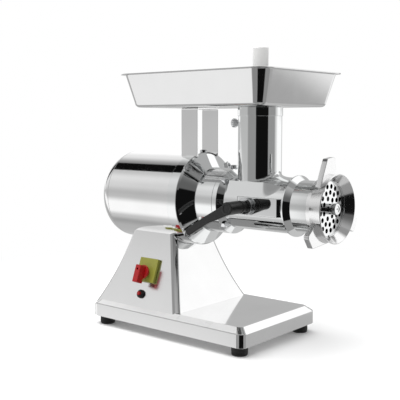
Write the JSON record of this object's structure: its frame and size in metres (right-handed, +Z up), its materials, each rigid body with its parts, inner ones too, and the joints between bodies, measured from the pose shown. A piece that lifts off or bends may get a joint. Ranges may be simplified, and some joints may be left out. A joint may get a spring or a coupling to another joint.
{
  "type": "electric meat grinder",
  "caption": "Countertop meat grinder: motor drum on a flared pedestal, feed tray and throat, grinding head with auger, plate and winged ring nut.",
  "frame": {"origin": "on the floor, under the middle of the whole machine's box", "axes": "+X along the auger axis towards the outlet, +Y away from the side with the switch, +Z up"},
  "size_m": [0.504, 0.262, 0.54],
  "materials": {
    "stainless_sheet": "polished stainless sheet",
    "polished_casting": "polished stainless casting",
    "tray_sheet": "satin stainless sheet",
    "bright_fastener": "bright machined steel",
    "tool_steel": "ground steel",
    "grey_iron": "machined",
    "cast_alloy": "as cast",
    "copper_winding": "varnished copper wire",
    "bronze": "turned",
    "black_rubber": "matt",
    "brown_rubber": "matt",
    "white_plastic": "satin",
    "black_plastic": "fine grain",
    "dark_plastic": "moulded",
    "olive_plastic": "semi-gloss",
    "red_plastic": "gloss",
    "can_metal": "drawn can"
  },
  "bodies": {
    "housing": {"base_shell": "stainless_sheet", "bottom_cover": "stainless_sheet", "feet": "black_rubber", "foot_screws": "bright_fastener", "pedestal_shell": "stainless_sheet", "drum_shell": "stainless_sheet", "rear_cap": "stainless_sheet", "rear_end_shield": "cast_alloy", "front_end_shield": "cast_alloy", "motor_stator": "grey_iron", "motor_windings": "copper_winding", "rear_motor_bearing": "tool_steel", "front_motor_bearing": "tool_steel", "gearbox_housing": "polished_casting", "housing_bolts": "bright_fastener", "oil_plug": "bright_fastener", "output_bearings": "tool_steel", "seal_plate": "cast_alloy", "oil_seal": "brown_rubber", "head_barrel": "polished_casting", "head_flange_bolts": "bright_fastener", "head_lock_screw": "bright_fastener", "feed_throat": "polished_casting", "thrust_washer": "bronze", "perforated_plate": "polished_casting", "plate_key": "polished_casting", "clamp_collar": "bright_fastener", "tray_support": "stainless_sheet", "switch_plate": "olive_plastic", "switch_body": "dark_plastic", "reset_bezel": "black_plastic", "reset_breaker": "dark_plastic", "cable_gland": "black_plastic", "run_capacitor": "can_metal", "terminal_block": "white_plastic"},
    "motor": {"motor_rotor": "grey_iron", "motor_shaft": "tool_steel", "motor_fan": "dark_plastic", "motor_pinion": "tool_steel"},
    "countershaft": {"reduction_gear": "tool_steel", "countershaft": "tool_steel", "countershaft_pinion": "tool_steel"},
    "screw": {"output_gear": "tool_steel", "output_shaft": "tool_steel", "auger": "polished_casting", "auger_pin": "polished_casting", "knife": "tool_steel"},
    "ring_nut": {"ring_nut": "polished_casting"},
    "tray": {"tray": "tray_sheet", "tray_spigot": "tray_sheet"},
    "thumb_screw": {"tray_thumb_screw": "bright_fastener"},
    "pusher": {"pusher_rod": "white_plastic", "pusher_head": "white_plastic"},
    "lever": {"clamp_lever": "black_plastic", "clamp_stud": "bright_fastener"},
    "switch_handle": {"switch_handle": "red_plastic"},
    "reset_button": {"reset_button": "red_plastic"}
  },
  "joints": [
    {"name": "motor_spin", "type": "hinge", "parent": "housing", "child": "motor", "pos_m": [-0.157, 0, 0.257], "axis": [1, 0, 0], "continuous": true},
    {"name": "countershaft_spin", "type": "hinge", "parent": "housing", "child": "countershaft", "pos_m": [-0.064, 0, 0.2122], "axis": [1, 0, 0], "continuous": true},
    {"name": "screw_spin", "type": "hinge", "parent": "housing", "child": "screw", "pos_m": [0.088, 0, 0.257], "axis": [1, 0, 0], "continuous": true},
    {"name": "ring_nut_turn", "type": "hinge", "parent": "housing", "child": "ring_nut", "pos_m": [0.236, 0, 0.257], "axis": [1, 0, 0], "continuous": true},
    {"name": "tray_lift", "type": "slide", "parent": "housing", "child": "tray", "axis": [0, 0, 1], "range_m": [0, 0.08]},
    {"name": "thumb_screw_turn", "type": "hinge", "parent": "housing", "child": "thumb_screw", "pos_m": [0.04, 0, 0.403], "axis": [1, 0, 0], "range_deg": [0, 720]},
    {"name": "pusher_slide", "type": "slide", "parent": "housing", "child": "pusher", "axis": [0, 0, 1], "range_m": [0, 0.25]},
    {"name": "lever_turn", "type": "hinge", "parent": "housing", "child": "lever", "pos_m": [0.101, -0.09, 0.257], "axis": [0, -1, 0], "range_deg": [0, 120]},
    {"name": "switch_turn", "type": "hinge", "parent": "housing", "child": "switch_handle", "pos_m": [-0.1175, -0.08201, 0.11138], "axis": [0, -0.9361, 0.3517], "range_deg": [0, 90]},
    {"name": "reset_push", "type": "slide", "parent": "housing", "child": "reset_button", "axis": [0, 0.9092, -0.4164], "range_m": [0, 0.003], "stiffness_N_per_m": 400}
  ],
  "couplings": [
    {"joint": "countershaft_spin", "follows": "motor_spin", "ratio": -0.33333},
    {"joint": "screw_spin", "follows": "motor_spin", "ratio": 0.13043}
  ]
}
